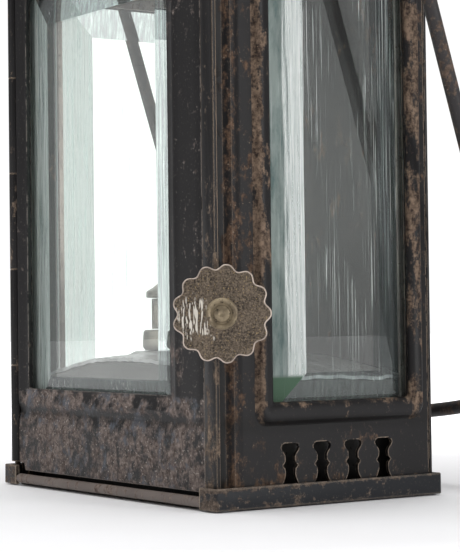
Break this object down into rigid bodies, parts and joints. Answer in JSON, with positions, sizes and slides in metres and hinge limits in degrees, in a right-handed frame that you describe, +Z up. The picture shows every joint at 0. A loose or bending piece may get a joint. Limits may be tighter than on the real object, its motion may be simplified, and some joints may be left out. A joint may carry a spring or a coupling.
{
  "type": "hanging lantern",
  "caption": "Rectangular tin oil lantern with a glazed front door, bevelled side windows, pierced chimney, swinging bail handle and a scalloped wick wheel at one front corner.",
  "frame": {"origin": "underside of the base plate, below the burner, at the middle of the body", "axes": "+Z up through the chimney; the glazed door faces -Y; the visible window side faces +X; the bail hangs down behind at +Y"},
  "size_m": [0.1718, 0.1238, 0.269],
  "materials": {
    "black_paint": "old black stoving paint on tinplate, semi-gloss, rust-freckled",
    "worn_paint": "black paint worn to brown oxide and bare grey tin along the edges",
    "bare_iron": "wrought iron rod and rivets, brown-black rust patina",
    "grey_tin": "dull tinned steel with a haze of lamp oil and dust",
    "burner_brass": "blackened spun brass, dull",
    "wheel_pewter": "cast white-metal wheel, granular grey-brown, rim rubbed bright",
    "plate_glass": "old bevelled plate glass, faint green, scratched and dusty",
    "cotton_wick": "woven flat cotton wick, charred at the top"
  },
  "bodies": {
    "lantern_body": {"base_plate": "black_paint", "right_side_wall": "black_paint", "left_side_wall": "black_paint", "right_window_frame": "black_paint", "left_window_frame": "black_paint", "right_glass_retainer": "black_paint", "left_glass_retainer": "black_paint", "back_panel": "black_paint", "cornice": "black_paint", "roof_hip": "black_paint", "chimney_tube": "black_paint", "chimney_cap": "black_paint", "foot_band": "worn_paint", "front_bead": "worn_paint", "right_jamb": "worn_paint", "left_jamb": "worn_paint", "bail_ear_right": "worn_paint", "bail_ear_left": "worn_paint", "door_hinge_pin": "bare_iron", "turn_button_rivet": "bare_iron", "ear_rivet_right_front": "bare_iron", "ear_rivet_right_rear": "bare_iron", "ear_rivet_left_front": "bare_iron", "ear_rivet_left_rear": "bare_iron", "font_tank": "grey_tin", "font_top": "grey_tin", "burner_collar": "burner_brass", "burner_neck": "burner_brass", "burner_cap": "burner_brass", "wick_tube": "burner_brass", "spindle_bush": "burner_brass", "right_glass": "plate_glass", "left_glass": "plate_glass"},
    "bail": {"bail_handle": "bare_iron"},
    "door": {"door_frame": "black_paint", "door_glass": "plate_glass", "door_glass_retainer": "black_paint"},
    "button": {"turn_button": "worn_paint"},
    "wick_raiser": {"wick_spindle": "burner_brass", "ratchet_inner": "burner_brass", "ratchet_outer": "burner_brass", "thumbwheel": "wheel_pewter"},
    "wick_body": {"wick": "cotton_wick"}
  },
  "joints": [
    {"name": "bail_swing", "type": "hinge", "parent": "lantern_body", "child": "bail", "pos_m": [0, 0.0121, 0.195], "axis": [-1, 0, 0], "range_deg": [-255, 0]},
    {"name": "door_hinge", "type": "hinge", "parent": "lantern_body", "child": "door", "pos_m": [-0.0614, -0.0402, 0.09], "axis": [0, 0, -1], "range_deg": [0, 110]},
    {"name": "button_turn", "type": "hinge", "parent": "lantern_body", "child": "button", "pos_m": [0.06035, -0.04125, 0.157], "axis": [0, -1, 0], "range_deg": [0, 90]},
    {"name": "wick_turn", "type": "hinge", "parent": "lantern_body", "child": "wick_raiser", "pos_m": [0.00289, 0.00408, 0.058], "axis": [-0.8166, 0.5772, 0], "range_deg": [-70, 140]},
    {"name": "wick_lift", "type": "slide", "parent": "lantern_body", "child": "wick_body", "axis": [0, 0, 1], "range_m": [-0.004, 0.008]}
  ],
  "couplings": [
    {"joint": "wick_lift", "follows": "wick_turn", "m_per_rad": 0.0032}
  ]
}
